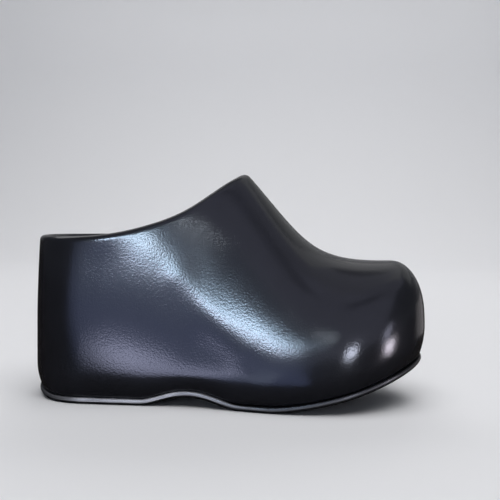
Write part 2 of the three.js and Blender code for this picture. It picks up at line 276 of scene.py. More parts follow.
def inward_from(x, side, centre):
    """Plan direction from the outline towards the inside of the shoe."""
    if centre:
        return Vector((1.0 if x < LENGTH / 2 else -1.0, 0.0, 0.0))
    ahead, behind = half_width(x + SLOPE_REACH, side), half_width(x - SLOPE_REACH, side)
    slope = (ahead - behind) / (2 * SLOPE_REACH)
    return Vector((slope, -side, 0.0)).normalized()


def lean_at(x, z):
    up = max((z - LEAN_FROM) / (HEEL_HEIGHT - LEAN_FROM), 0.0)
    return HEEL_LEAN * up ** LEAN_POWER * max(1 - x / LEAN_REACH, 0.0)


def outer_line(x, side, centre):
    """The upper's outside from the feather line over the widest line to the collar's roll."""
    points = []
    inward = inward_from(x, side, centre)
    width = side * half_width(x, side)
    for step in range(LOW_STEPS):
        t = step / LOW_STEPS
        tuck = TUCK * (1 - t) ** TUCK_POWER
        px = x + inward.x * tuck
        foot = feather_at(px)
        points.append(Vector((px, width + inward.y * tuck, foot + (bulge_at(x) - foot) * t)))
    end_x = collar_end_of(x)
    end_height = roll_start_at(end_x) + lift_at(end_x, side) - bulge_at(end_x)
    end_rise = clamped(end_height / crown_at(end_x))
    tall, wide = column["tall"](end_x / LENGTH), column["wide"](end_x / LENGTH)
    end_y = side * half_width(end_x, side) * (1 - end_rise ** tall) ** (1 / wide)
    for step in range(RISE_STEPS + 1):
        t = (step / RISE_STEPS) ** RISE_POWER
        px = x + (end_x - x) * t
        py = width + (end_y - width) * t
        out = min(abs(py) / half_width(px, side), 1.0)
        tall, wide = column["tall"](px / LENGTH), column["wide"](px / LENGTH)
        points.append(Vector((px, py, bulge_at(px) + crown_at(px) * (1 - out ** wide) ** (1 / tall))))
    for point in points:
        point.y = (0.0 if centre else point.y) + axis_at(point.x)
        point.x += lean_at(point.x, point.z)
    return points


def wall_frame(grid, s, level):
    """Directions into the wall and up along it."""
    line = grid[s]
    round_it = grid[(s + 1) % len(grid)][level] - grid[s - 1][level]
    up = line[min(level + 1, len(line) - 1)] - line[max(level - 1, 0)]
    inward = up.cross(round_it).normalized()
    up = (up - inward * up.dot(inward)).normalized()
    return inward, up


def crease_depth(point, side):
    depth = 0.0
    for row in CREASE_ROWS:
        crease = dict(zip(CREASE_COLUMNS, row))
        if crease["side"] * side < 0:
            continue
        start = Vector((crease["x0"], crease["z0"]))
        along = Vector((crease["x1"], crease["z1"])) - start
        here = Vector((point.x, point.z)) - start
        t = clamped(here.dot(along) / along.length_squared)
        away = (here - along * t).length / crease["width"]
        depth += crease["depth"] * math.exp(-away * away)
    return depth


stations = stations_round()
smooth_wall = [outer_line(*station) for station in stations]
outer_wall = []
for s, (_, side, _) in enumerate(stations):
    line = []
    for level, point in enumerate(smooth_wall[s]):
        inward, _ = wall_frame(smooth_wall, s, level)
        line.append(point + inward * crease_depth(point, side))
    outer_wall.append(line)


def line_under(s, depth_at):
    """A line that runs under the outside, from the feather line to the roll."""
    line = outer_wall[s]
    points, from_roll = [], 0.0
    for level in range(len(line) - 1, -1, -1):
        if level < len(line) - 1:
            from_roll += (line[level] - line[level + 1]).length
        inward, _ = wall_frame(outer_wall, s, level)
        if level == 0:
            inward = Vector((inward.x, inward.y, 0.0)).normalized()
        point = line[level] + inward * depth_at(from_roll)
        if level == 0:
            point.z = feather_at(point.x)
        points.append(point)
    return points


def upper_section(s):
    """One loop of the upper: up the outside, over the roll and down the lining."""
    start = outer_wall[s][-1]
    inward, up = wall_frame(outer_wall, s, len(outer_wall[s]) - 1)
    thick = roll_at(collar_end_of(stations[s][0]))
    radius = thick / 2
    roll = []
    for i in range(1, ROLL_STEPS):
        turn = math.pi * i / ROLL_STEPS
        roll.append(start + inward * radius * (1 - math.cos(turn)) + up * radius * math.sin(turn))
    lining = line_under(
        s, lambda from_roll: thick + (WALL - thick) * eased(from_roll, 0.0, ROLL_TAPER))
    return outer_wall[s] + roll + lining


# The frame's origin in the last's own measures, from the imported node's box.
box_low, box_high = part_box("upper")
wall_ys = [point.y for line in smooth_wall for point in line]
origin = Vector((
    LENGTH / 2, (min(wall_ys) + max(wall_ys)) / 2 - (box_low.y + box_high.y) / 2 / MM, 0.0))


def skin_through(sections, bridged):
    """A mesh of rings across the sections, each extruded from the one before and moved to its own
    points. The vertex layer "ring" keeps the number of the ring. A bridged skin joins its last ring
    to its first."""
    rings = list(zip(*sections))
    bm = bmesh.new()
    first = bmesh.ops.create_circle(bm, segments=len(rings[0]), radius=1.0)["verts"]
    around = bm.verts.layers.int.new("around")
    ring_of = bm.verts.layers.int.new("ring")
    for s, vert in enumerate(bm.verts):
        vert[around] = s
    first = list(bm.verts)
    edges = first_edges = list(bm.edges)
    for vert in first:
        vert.co = (rings[0][vert[around]] - origin) * MM
    for number, ring in enumerate(rings[1:], 1):
        made = bmesh.ops.extrude_edge_only(bm, edges=edges)["geom"]
        verts = {item for item in made if isinstance(item, bmesh.types.BMVert)}
        for vert in verts:
            vert.co = (ring[vert[around]] - origin) * MM
            vert[ring_of] = number
        edges = [
            item for item in made
            if isinstance(item, bmesh.types.BMEdge) and verts.issuperset(item.verts)]
    if bridged:
        bmesh.ops.bridge_loops(bm, edges=edges + first_edges)
    return bm


def piece_from(bm, name, materials, levels):
    """A smooth-shaded object from a finished bmesh, with a live Subdivision Surface."""
    bmesh.ops.recalc_face_normals(bm, faces=bm.faces)
    for face in bm.faces:
        face.smooth = True
    mesh = bpy.data.meshes.new(name)
    bm.to_mesh(mesh)
    bm.free()
    for material in materials:
        mesh.materials.append(material)
    piece = bpy.data.objects.new(name, mesh)
    bpy.context.scene.collection.objects.link(piece)
    if levels:
        finer = piece.modifiers.new("finer", "SUBSURF")
        finer.levels = finer.render_levels = levels
    return piece


PORE_SOFTNESS = 0.35
GROUND_PER_METRE = 700.0
GROUND_DETAIL = 4.0
PATCHES_PER_METRE = 38.0
PATCHES_DETAIL = 3.0


def grain_group():
    """Leather grain: small cells with pores between them, over soft uneven ground."""
    group = bpy.data.node_groups.new("leather grain", "ShaderNodeTree")
    for name, default in (("Cell Size", 0.001), ("Pore Depth", 0.5), ("Unevenness", 0.5)):
        socket = group.interface.new_socket(name, in_out="INPUT", socket_type="NodeSocketFloat")
        socket.default_value = default
    for name in ("Height", "Patches"):
        group.interface.new_socket(name, in_out="OUTPUT", socket_type="NodeSocketFloat")
    nodes, links = group.nodes, group.links
    given = nodes.new("NodeGroupInput")
    put_out = nodes.new("NodeGroupOutput")
    place = nodes.new("ShaderNodeTexCoord")
    per_metre = nodes.new("ShaderNodeMath")
    per_metre.operation = "DIVIDE"
    per_metre.inputs[0].default_value = 1.0
    links.new(given.outputs["Cell Size"], per_metre.inputs[1])
    cells = nodes.new("ShaderNodeTexVoronoi")
    cells.feature = "SMOOTH_F1"
    cells.inputs["Smoothness"].default_value = PORE_SOFTNESS
    links.new(place.outputs["Object"], cells.inputs["Vector"])
    links.new(per_metre.outputs[0], cells.inputs["Scale"])
    pores = nodes.new("ShaderNodeMath")
    pores.operation = "MULTIPLY"
    links.new(cells.outputs["Distance"], pores.inputs[0])
    links.new(given.outputs["Pore Depth"], pores.inputs[1])
    ground = nodes.new("ShaderNodeTexNoise")
    ground.inputs["Detail"].default_value = GROUND_DETAIL
    ground.inputs["Scale"].default_value = GROUND_PER_METRE
    links.new(place.outputs["Object"], ground.inputs["Vector"])
    uneven = nodes.new("ShaderNodeMath")
    uneven.operation = "MULTIPLY"
    links.new(ground.outputs["Fac"], uneven.inputs[0])
    links.new(given.outputs["Unevenness"], uneven.inputs[1])
    height = nodes.new("ShaderNodeMath")
    height.operation = "SUBTRACT"
    links.new(uneven.outputs[0], height.inputs[0])
    links.new(pores.outputs[0], height.inputs[1])
    links.new(height.outputs[0], put_out.inputs["Height"])
    patches = nodes.new("ShaderNodeTexNoise")
    patches.inputs["Scale"].default_value = PATCHES_PER_METRE
    patches.inputs["Detail"].default_value = PATCHES_DETAIL
    links.new(place.outputs["Object"], patches.inputs["Vector"])
    links.new(patches.outputs["Fac"], put_out.inputs["Patches"])
    return group


leather_grain = grain_group()
PORE_DEPTH = 0.6
UNEVENNESS = 0.8
POLISH_FROM = 0.3
POLISH_TO = 0.7
POLISH_CHANGE = 0.03
GRAIN_DEPTH = 0.0002


def leather(name, colour, lighter, roughness, specular, coat, coat_roughness, cell_size, bump):
    """Leather with its grain as bump, and slow changes of colour and polish."""
    material = bpy.data.materials.new(name)
    material.use_nodes = True
    nodes, links = material.node_tree.nodes, material.node_tree.links
    shader = nodes["Principled BSDF"]
    grain = nodes.new("ShaderNodeGroup")
    grain.node_tree = leather_grain
    grain.inputs["Cell Size"].default_value = cell_size
    grain.inputs["Pore Depth"].default_value = PORE_DEPTH
    grain.inputs["Unevenness"].default_value = UNEVENNESS
    tint = nodes.new("ShaderNodeMix")
    tint.data_type = "RGBA"
    tint.inputs["A"].default_value = (*colour, 1.0)
    tint.inputs["B"].default_value = (*lighter, 1.0)
    links.new(grain.outputs["Patches"], tint.inputs["Factor"])
    links.new(tint.outputs["Result"], shader.inputs["Base Color"])
    polish = nodes.new("ShaderNodeMapRange")
    polish.inputs["From Min"].default_value = POLISH_FROM
    polish.inputs["From Max"].default_value = POLISH_TO
    polish.inputs["To Min"].default_value = roughness - POLISH_CHANGE
    polish.inputs["To Max"].default_value = roughness + POLISH_CHANGE
    links.new(grain.outputs["Patches"], polish.inputs["Value"])
    links.new(polish.outputs["Result"], shader.inputs["Roughness"])
    relief = nodes.new("ShaderNodeBump")
    relief.inputs["Strength"].default_value = bump
    relief.inputs["Distance"].default_value = GRAIN_DEPTH
    links.new(grain.outputs["Height"], relief.inputs["Height"])
    links.new(relief.outputs["Normal"], shader.inputs["Normal"])
    links.new(relief.outputs["Normal"], shader.inputs["Coat Normal"])
    shader.inputs["Specular IOR Level"].default_value = specular
    shader.inputs["Coat Weight"].default_value = coat
    shader.inputs["Coat Roughness"].default_value = coat_roughness
    return material


upper_leather = leather(
    "black leather", colour=(0.008, 0.0085, 0.011), lighter=(0.013, 0.0135, 0.019),
    roughness=0.46, specular=0.085, coat=1.0, coat_roughness=0.15, cell_size=0.001, bump=0.27)
lining_leather = leather(
    "lining leather", colour=(0.014, 0.013, 0.013), lighter=(0.022, 0.021, 0.020),
    roughness=0.55, specular=0.4, coat=0.0, coat_roughness=0.3, cell_size=0.0007, bump=0.3)

skin = skin_through([upper_section(s) for s in range(len(stations))], True)
lining_from = len(outer_wall[0]) + ROLL_STEPS + 1
ring_of = skin.verts.layers.int["ring"]
for face in skin.faces:
    if min(vert[ring_of] for vert in face.verts) >= lining_from:
        face.material_index = 1
upper = piece_from(skin, "leather_upper", (upper_leather, lining_leather), 1)
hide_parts("upper")
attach(upper, "root")


# Outsole: a 4 mm sheet of black rubber, bent to the arch and the toe spring and cemented on. Its
# edge is buffed on a wheel, which leaves fine lengthwise lines, and its foot is bevelled. The grey
# of that edge is partly the buffing and partly a painted highlight.
SOLE_PROUD = 1.4
SOLE_EDGE_ROUND = 0.6
SOLE_BEVEL = 1.5
SOLE_BEVEL_IN = 1.1
SOLE_EDGE_LEAN = 0.16
STRIP_NARROWS_FROM = -0.005
STRIP_NARROWS_TO = 0.03
STRIP_NARROWS_BY = 1.2
SOLE_FOOT_IN = 0.3
SOLE_CORNER_IN = 0.1
SOLE_CORNER_BELOW = 0.15
SOLE_CORNER_ABOVE = 0.1
SOLE_ROUND_SHARE = 0.3
MERGED_WITHIN = 0.000005
# How far along the shoe (mm from its middle) and how bright the grey edge is there, 0 to 1: partly
# buffing and partly a painted highlight, brightest along the waist where the light falls on the edge.
WEAR_AND_HIGHLIGHT_ROWS = (
    (-134.0, 0.08),
    (-117.0, 0.10),
    (-103.0, 0.30),
    (-94.0, 0.80),
    (-54.0, 0.84),
    (-45.0, 1.0),
    (-37.0, 1.0),
    (-29.0, 0.61),
    (-8.0, 0.5),
    (13.0, 0.25),
    (37.0, 0.18),
    (68.0, 0.12),
)
CAP_RINGS = 8
SPINE_HEEL_STOP = 0.8
SPINE_TOE_STOP = 0.7
SPINE_SLOWING = 3
BUFF_STRETCH = 0.012
BUFF_PER_METRE = 3200.0
BUFF_DETAIL = 3.0
BUFF_FROM = 0.25
BUFF_TO = 0.6
BUFF_BUMP = 0.25
BUFF_DEPTH = 0.0001
STRIP_FOOT_FADE = (0.15, 0.5)
STRIP_TOP_FADE = (0.1, 0.4)


def spine_of(x):
    """Where the two halves of a flat face meet, short of both ends."""
    heel_stop = SPINE_HEEL_STOP * HEEL_ROUND
    toe_stop = LENGTH - SPINE_TOE_STOP * TOE_ROUND
    along = x
    if x < heel_stop:
        along = heel_stop + (x - heel_stop) / SPINE_SLOWING
    if x > toe_stop:
        along = toe_stop + (x - toe_stop) / SPINE_SLOWING
    return Vector((along, axis_at(along), 0.0))


def face_line(station, edge, height_at):
    """Points of a face from the spine out to just before the edge."""
    points = []
    for ring in range(CAP_RINGS):
        out = ring / CAP_RINGS
        point = spine_of(station[0]).lerp(edge, out)
        point.z = height_at(point.x, out)
        points.append(point)
    return points


def outsole_section(s):
    station = stations[s]
    foot, inward = smooth_wall[s][0], inward_from(*station)

    def edge(out, up):
        point = foot - inward * out
        point.z = sole_bottom(point.x) + up
        return point

    top = SOLE_PROUD - SOLE_EDGE_LEAN
    softened = SOLE_EDGE_ROUND * SOLE_ROUND_SHARE
    side = [
        edge(SOLE_PROUD - SOLE_BEVEL_IN - SOLE_FOOT_IN, 0.0),
        edge(SOLE_PROUD - SOLE_BEVEL_IN, 0.0),
        edge(SOLE_PROUD - SOLE_CORNER_IN, SOLE_BEVEL - SOLE_CORNER_BELOW),
        edge(SOLE_PROUD, SOLE_BEVEL + SOLE_CORNER_ABOVE),
        edge((SOLE_PROUD + top) / 2, (SOLE_BEVEL + SOLE_THICKNESS) / 2),
        edge(top, SOLE_THICKNESS - SOLE_EDGE_ROUND),
        edge(top - softened, SOLE_THICKNESS - softened),
        edge(top - SOLE_EDGE_ROUND, SOLE_THICKNESS),
        edge(top - 2 * SOLE_EDGE_ROUND, SOLE_THICKNESS),
    ]
    under = face_line(station, side[0], lambda x, out: sole_bottom(x))
    over = face_line(station, side[-1], lambda x, out: sole_bottom(x) + SOLE_THICKNESS)
    return under + side + over[::-1]


def rubber(name, colour, worn_and_highlight, roughness):
    """Black rubber, grey where the wheel has buffed its edge, with fine lines along it. The grey is
    partly a painted highlight: brightest along the waist, where the light falls, and dimmer towards
    heel and toe.
    """
    material = bpy.data.materials.new(name)
    material.use_nodes = True
    nodes, links = material.node_tree.nodes, material.node_tree.links
    shader = nodes["Principled BSDF"]
    place = nodes.new("ShaderNodeTexCoord")
    height = nodes.new("ShaderNodeAttribute")
    height.attribute_name = "edge_height"
    lines = nodes.new("ShaderNodeCombineXYZ")
    split = nodes.new("ShaderNodeSeparateXYZ")
    links.new(place.outputs["Object"], split.inputs[0])
    stretch = nodes.new("ShaderNodeMath")
    stretch.operation = "MULTIPLY"
    stretch.inputs[1].default_value = BUFF_STRETCH
    links.new(split.outputs["X"], stretch.inputs[0])
    links.new(stretch.outputs[0], lines.inputs["X"])
    links.new(height.outputs["Fac"], lines.inputs["Z"])
    buffed = nodes.new("ShaderNodeTexNoise")
    buffed.inputs["Scale"].default_value = BUFF_PER_METRE
    buffed.inputs["Detail"].default_value = BUFF_DETAIL
    links.new(lines.outputs[0], buffed.inputs["Vector"])
    ramp = nodes.new("ShaderNodeMapRange")
    ramp.inputs["From Min"].default_value = BUFF_FROM
    ramp.inputs["From Max"].default_value = BUFF_TO
    links.new(buffed.outputs["Fac"], ramp.inputs["Value"])
    above = nodes.new("ShaderNodeMapRange")
    above.inputs["From Min"].default_value = (SOLE_BEVEL + STRIP_FOOT_FADE[0]) * MM
    above.inputs["From Max"].default_value = (SOLE_BEVEL + STRIP_FOOT_FADE[1]) * MM
    links.new(height.outputs["Fac"], above.inputs["Value"])
    narrower = nodes.new("ShaderNodeMapRange")
    narrower.inputs["From Min"].default_value = STRIP_NARROWS_FROM
    narrower.inputs["From Max"].default_value = STRIP_NARROWS_TO
    narrower.inputs["To Max"].default_value = STRIP_NARROWS_BY * MM
    links.new(split.outputs["X"], narrower.inputs["Value"])
    raised = nodes.new("ShaderNodeMath")
    raised.operation = "ADD"
    links.new(height.outputs["Fac"], raised.inputs[0])
    links.new(narrower.outputs["Result"], raised.inputs[1])
    below = nodes.new("ShaderNodeMapRange")
    below.inputs["From Min"].default_value = (SOLE_THICKNESS + STRIP_TOP_FADE[0]) * MM
    below.inputs["From Max"].default_value = (SOLE_THICKNESS + STRIP_TOP_FADE[1]) * MM
    below.inputs["To Min"].default_value = 1.0
    below.inputs["To Max"].default_value = 0.0
    links.new(raised.outputs[0], below.inputs["Value"])
    along = nodes.new("ShaderNodeMapRange")
    along.inputs["From Min"].default_value = -LENGTH / 2 * MM
    along.inputs["From Max"].default_value = LENGTH / 2 * MM
    links.new(split.outputs["X"], along.inputs["Value"])
    # Painted highlight along the shoe, with the buffing: the grey edge is brightest along the waist.
    wear_and_highlight = nodes.new("ShaderNodeValToRGB")
    stops = wear_and_highlight.color_ramp.elements
    for place_x, _ in WEAR_AND_HIGHLIGHT_ROWS[2:]:
        stops.new(place_x / LENGTH + 0.5)
    for stop, (place_x, amount) in zip(stops, WEAR_AND_HIGHLIGHT_ROWS):
        stop.position = place_x / LENGTH + 0.5
        stop.color = (amount, amount, amount, 1.0)
    links.new(along.outputs["Result"], wear_and_highlight.inputs["Fac"])
    shown = ramp.outputs["Result"]
    for mask in (above.outputs["Result"], below.outputs["Result"], wear_and_highlight.outputs["Color"]):
        masked = nodes.new("ShaderNodeMath")
        masked.operation = "MULTIPLY"
        links.new(shown, masked.inputs[0])
        links.new(mask, masked.inputs[1])
        shown = masked.outputs[0]
    tint = nodes.new("ShaderNodeMix")
    tint.data_type = "RGBA"
    tint.inputs["A"].default_value = (*colour, 1.0)
    tint.inputs["B"].default_value = (*worn_and_highlight, 1.0)
    links.new(shown, tint.inputs["Factor"])
    links.new(tint.outputs["Result"], shader.inputs["Base Color"])
    shader.inputs["Roughness"].default_value = roughness
    relief = nodes.new("ShaderNodeBump")
    relief.inputs["Strength"].default_value = BUFF_BUMP
    relief.inputs["Distance"].default_value = BUFF_DEPTH
    links.new(buffed.outputs["Fac"], relief.inputs["Height"])
    links.new(relief.outputs["Normal"], shader.inputs["Normal"])
    return material


# The edge's grey is partly buffed rubber and partly a painted highlight in the window light's bluish
# tint.
sole_rubber = rubber(
    "sole rubber", colour=(0.012, 0.012, 0.014), worn_and_highlight=(0.8, 0.81, 0.9), roughness=0.34)
skin = skin_through([outsole_section(s) for s in range(len(stations))], False)
edge_height = skin.verts.layers.float.new("edge_height")
for vert in skin.verts:
    vert[edge_height] = vert.co.z - sole_bottom(vert.co.x / MM + origin.x) * MM
bmesh.ops.remove_doubles(skin, verts=skin.verts, dist=MERGED_WITHIN)
outsole = piece_from(skin, "rubber_outsole", (sole_rubber,), 1)
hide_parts("outsole")
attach(outsole, "root")


# Platform: the light foam block that the upper is lasted over. The leather hides it from the
# outside and the insole from above, so its solid stays as packed, with the foam's own surface.
FOAM_DARK = (0.03, 0.027, 0.024, 1.0)
FOAM_LIGHT = (0.07, 0.063, 0.056, 1.0)
FOAM_ROUGHNESS = 0.9
BUBBLES_PER_METRE = 900.0
BUBBLE_BUMP = 0.5
BUBBLE_DEPTH = 0.0002
platform_foam = bpy.data.materials.new("platform foam")
platform_foam.use_nodes = True
nodes, links = platform_foam.node_tree.nodes, platform_foam.node_tree.links
place = nodes.new("ShaderNodeTexCoord")
bubbles = nodes.new("ShaderNodeTexVoronoi")
bubbles.inputs["Scale"].default_value = BUBBLES_PER_METRE
links.new(place.outputs["Object"], bubbles.inputs["Vector"])
tint = nodes.new("ShaderNodeMix")
tint.data_type = "RGBA"
tint.inputs["A"].default_value = FOAM_DARK
tint.inputs["B"].default_value = FOAM_LIGHT
links.new(bubbles.outputs["Distance"], tint.inputs["Factor"])
links.new(tint.outputs["Result"], nodes["Principled BSDF"].inputs["Base Color"])
nodes["Principled BSDF"].inputs["Roughness"].default_value = FOAM_ROUGHNESS
relief = nodes.new("ShaderNodeBump")
relief.inputs["Strength"].default_value = BUBBLE_BUMP
relief.inputs["Distance"].default_value = BUBBLE_DEPTH
links.new(bubbles.outputs["Distance"], relief.inputs["Height"])
links.new(relief.outputs["Normal"], nodes["Principled BSDF"].inputs["Normal"])
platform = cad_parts["platform"]
platform.data.materials.clear()
platform.data.materials.append(platform_foam)


# Insole: a dished board with a thin foam and a soft leather sock, glued on the platform. It runs
# out to the lining all round, and its upper edge is rolled over.
SEAT_HEIGHT = 58.0
FOREFOOT_HEIGHT = 44.0
TOE_LIFT = 8.0
INSOLE_THICKNESS = 3.0
INSOLE_DISH = 2.0
INSOLE_EASE = 0.7
INSOLE_FOOT_SHARE = 0.4
INSOLE_SIDE_STOPS = (0.12, 0.5, 0.78)
INSOLE_ROLL_SHARE = 0.35
INSOLE_ROLL_DROP = 0.12
FILL_LINES = [line_under(s, lambda from_roll: WALL + GAP)[::-1] for s in range(len(stations))]


def footbed_at(x, out):
    seat = column["seat"](x / LENGTH) * (SEAT_HEIGHT - FOREFOOT_HEIGHT)
    return FOREFOOT_HEIGHT + seat + TOE_LIFT * past_spring(x) ** 2 + INSOLE_DISH * out ** 2


def crossing(line, height_at):
    """Where a line inside the lining crosses a height that changes along the shoe."""
    above = next(i for i, point in enumerate(line) if point.z > height_at(point.x))
    low, high = line[above - 1], line[above]
    short = height_at(low.x) - low.z
    return low.lerp(high, short / (short + high.z - height_at(high.x)))


def insole_section(s):
    station = stations[s]
    low = crossing(FILL_LINES[s], lambda x: footbed_at(x, 1.0) - INSOLE_THICKNESS)
    high = crossing(FILL_LINES[s], lambda x: footbed_at(x, 1.0))
    inner = spine_of(station[0]) - high
    inner.z = 0.0
    inner = inner.normalized() * INSOLE_EASE
    side = [
        low + inner * INSOLE_FOOT_SHARE,
        *(low.lerp(high, stop) for stop in INSOLE_SIDE_STOPS),
        high + inner * INSOLE_ROLL_SHARE - Vector((0, 0, INSOLE_ROLL_DROP)),
        high + inner]
    under = face_line(
        station, side[0], lambda x, out: footbed_at(x, out) - INSOLE_THICKNESS)
    over = face_line(station, side[-1], footbed_at)
    return under + side + over[::-1]


insole_leather = leather(
    "insole leather", colour=(0.017, 0.0155, 0.0155), lighter=(0.026, 0.024, 0.024),
    roughness=0.5, specular=0.4, coat=0.0, coat_roughness=0.3, cell_size=0.0008, bump=0.45)
skin = skin_through([insole_section(s) for s in range(len(stations))], False)
bmesh.ops.remove_doubles(skin, verts=skin.verts, dist=MERGED_WITHIN)
insole = piece_from(skin, "sock_insole", (insole_leather,), 0)
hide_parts("insole")
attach(insole, "root")


# Camera: as the photograph was taken, from half a metre off the lateral side, a little ahead of the
# middle and level with the collar.
camera = bpy.data.objects.new("camera", bpy.data.cameras.new("camera"))
camera.data.lens = 54.36
camera.data.sensor_width = 36.0
camera.location = (0.04532, -0.52032, 0.134)
camera.rotation_euler = Euler([math.radians(turn) for turn in (86.4375, -0.8284, 3.61)])
camera.data.clip_start = 0.01
bpy.context.scene.collection.objects.link(camera)
bpy.context.scene.camera = camera


# Stage: a pale sheet of paper that lies on the table and sweeps up behind the shoe. In the leather's
# gloss the part on the table shows as dark as an unlit table does.
SWEEP_FRONT = -2.6
SWEEP_TURN = 1.0
SWEEP_RADIUS = 0.5
SWEEP_TOP = 2.6
SWEEP_HALF = 3.0
SWEEP_STEPS = 24
PAPER_COLOUR = (0.78, 0.785, 0.81, 1.0)
PAPER_ROUGHNESS = 0.8
UNLIT_COLOUR = (0.02, 0.016, 0.014, 1.0)
UNLIT_BELOW = 0.02
LIT_ABOVE = 0.3
UNLIT_SHARE_ABOVE = 0.55
bm = bmesh.new()
strip = [bm.verts.new((-SWEEP_HALF, SWEEP_FRONT, 0.0)), bm.verts.new((SWEEP_HALF, SWEEP_FRONT, 0.0))]
front = bm.edges.new(strip)


def moved_on(edge, offset):
    made = bmesh.ops.extrude_edge_only(bm, edges=[edge])["geom"]
    verts = [item for item in made if isinstance(item, bmesh.types.BMVert)]
    bmesh.ops.translate(bm, verts=verts, vec=offset)
    return next(
        item for item in made
        if isinstance(item, bmesh.types.BMEdge) and all(vert in verts for vert in item.verts))


flat_end = moved_on(front, (0.0, SWEEP_TURN - SWEEP_FRONT, 0.0))
turned = bmesh.ops.spin(
    bm, geom=[flat_end, *flat_end.verts], cent=(0.0, SWEEP_TURN, SWEEP_RADIUS),
    axis=(1.0, 0.0, 0.0), angle=math.pi / 2, steps=SWEEP_STEPS)["geom_last"]
last = next(item for item in turned if isinstance(item, bmesh.types.BMEdge))
moved_on(last, (0.0, 0.0, SWEEP_TOP - SWEEP_RADIUS))
for face in bm.faces:
    face.smooth = True
bmesh.ops.recalc_face_normals(bm, faces=bm.faces)
mesh = bpy.data.meshes.new("paper_sweep")
bm.to_mesh(mesh)
bm.free()
paper = bpy.data.materials.new("pale paper")
paper.use_nodes = True
nodes, links = paper.node_tree.nodes, paper.node_tree.links
shader = nodes["Principled BSDF"]
shader.inputs["Roughness"].default_value = PAPER_ROUGHNESS
shader.inputs["Specular IOR Level"].default_value = 0.0
place = nodes.new("ShaderNodeTexCoord")
split = nodes.new("ShaderNodeSeparateXYZ")
links.new(place.outputs["Object"], split.inputs[0])
low_down = nodes.new("ShaderNodeMapRange")
low_down.inputs["From Min"].default_value = UNLIT_BELOW
low_down.inputs["From Max"].default_value = LIT_ABOVE
low_down.inputs["To Min"].default_value = 1.0
low_down.inputs["To Max"].default_value = UNLIT_SHARE_ABOVE
links.new(split.outputs["Z"], low_down.inputs["Value"])
rays = nodes.new("ShaderNodeLightPath")
dimmed = nodes.new("ShaderNodeMath")
dimmed.operation = "MULTIPLY"
links.new(rays.outputs["Is Glossy Ray"], dimmed.inputs[0])
links.new(low_down.outputs["Result"], dimmed.inputs[1])
tint = nodes.new("ShaderNodeMix")
tint.data_type = "RGBA"
tint.inputs["A"].default_value = PAPER_COLOUR
tint.inputs["B"].default_value = UNLIT_COLOUR
links.new(dimmed.outputs[0], tint.inputs["Factor"])
links.new(tint.outputs["Result"], shader.inputs["Base Color"])
mesh.materials.append(paper)
sweep = bpy.data.objects.new("paper_sweep", mesh)
bpy.context.scene.collection.objects.link(sweep)


# Cards: what the leather mirrors of the room, as plain glowing sheets that only glossy rays meet. A
# window behind the camera to the left, the pale room above it, two small lamps to the right and the
# lit part of the table. Azimuth is 0 towards -Y and grows towards the heel; spans are degrees.
SIDE = Vector((-0.01, -0.045, 0.075))
BALL = Vector((0.08, -0.05, 0.04))
TOE = Vector((0.104, -0.04, 0.045))
COLLAR = Vector((-0.032, -0.042, 0.108))
THROAT_SIDE = Vector((0.005, -0.03, 0.138))
CARD_COLUMNS = (
    "name", "seen_from", "azimuth", "elevation", "distance", "across", "up", "radiance", "colour")
CARD_ROWS = (
    ("window_top", SIDE, 16.0, 9.9, 1.0, 11.2, 3.6, 42.0, (0.56, 0.78, 1.0)),
    ("window_low", SIDE, 16.0, 7.25, 1.0, 11.2, 1.7, 37.0, (0.73, 0.76, 1.0)),
    ("window_top_dimmer", SIDE, 7.9, 9.9, 1.0, 5.0, 3.6, 27.0, (0.56, 0.78, 1.0)),
    ("window_low_dimmer", SIDE, 7.9, 7.25, 1.0, 5.0, 1.7, 23.0, (0.73, 0.76, 1.0)),
    ("window_close", COLLAR, 12.2, 8.8, 0.152, 8.3, 4.9, 42.0, (0.62, 0.8, 1.0)),
    ("window_corner", COLLAR, 3.9, 10.6, 1.2, 2.6, 2.8, 24.0, (0.6, 0.8, 1.0)),
    ("window_bar", COLLAR, -0.9, 12.8, 2.5, 2.2, 1.8, 17.0, (0.6, 0.78, 1.0)),
    ("window_glint", COLLAR, -5.4, 18.6, 2.5, 1.8, 2.2, 40.0, (0.78, 0.88, 1.0)),
    ("window_wall", SIDE, 19.5, 1.0, 2.5, 36.0, 5.2, 1.05, (0.50, 0.60, 1.0)),
    ("over_window", SIDE, 8.0, 18.6, 2.6, 34.0, 12.0, 0.25, (0.68, 0.74, 1.0)),
    ("room", SIDE, -29.0, 33.0, 3.0, 66.0, 60.0, 0.56, (0.72, 0.74, 1.0)),
    ("room_corner", THROAT_SIDE, -38.0, 46.5, 2.5, 26.0, 5.0, 0.05, (0.72, 0.74, 1.0)),
    ("room_end", SIDE, -72.0, 50.0, 3.2, 44.0, 26.0, 0.42, (0.75, 0.77, 1.0)),
    ("ceiling", SIDE, -38.0, 76.0, 2.8, 60.0, 26.0, 0.42, (0.8, 0.82, 1.0)),
    ("toe_side", TOE, -130.0, 0.5, 0.25, 30.0, 17.0, 0.45, (1.0, 0.95, 0.98)),
    ("toe_side_high", SIDE, -134.0, 32.0, 1.4, 44.0, 24.0, 0.38, (0.97, 1.0, 1.0)),
    ("behind", COLLAR, -178.0, 46.0, 1.8, 60.0, 34.0, 0.62, (0.98, 0.98, 1.0)),
    ("above_heel", COLLAR, 116.0, 52.0, 1.9, 46.0, 24.0, 1.7, (0.97, 0.98, 1.0)),
    ("above_toe", COLLAR, -118.0, 54.0, 1.9, 34.0, 20.0, 0.6, (0.95, 0.97, 1.0)),
    ("lamp_blue", BALL, -24.3, 3.0, 2.5, 13.5, 9.6, 20.0, (0.77, 0.82, 1.0)),
    ("lamp_rose", TOE, -70.5, -5.4, 0.35, 9.4, 4.4, 34.0, (0.93, 0.87, 1.0)),
    ("lamp_rose_tail", TOE, -64.0, 3.0, 2.5, 3.4, 12.0, 9.5, (0.75, 0.77, 1.0)),
)


def direction_to(azimuth, elevation):
    azimuth, elevation = math.radians(azimuth), math.radians(elevation)
    return Vector((
        -math.sin(azimuth) * math.cos(elevation),
        -math.cos(azimuth) * math.cos(elevation),
        math.sin(elevation)))


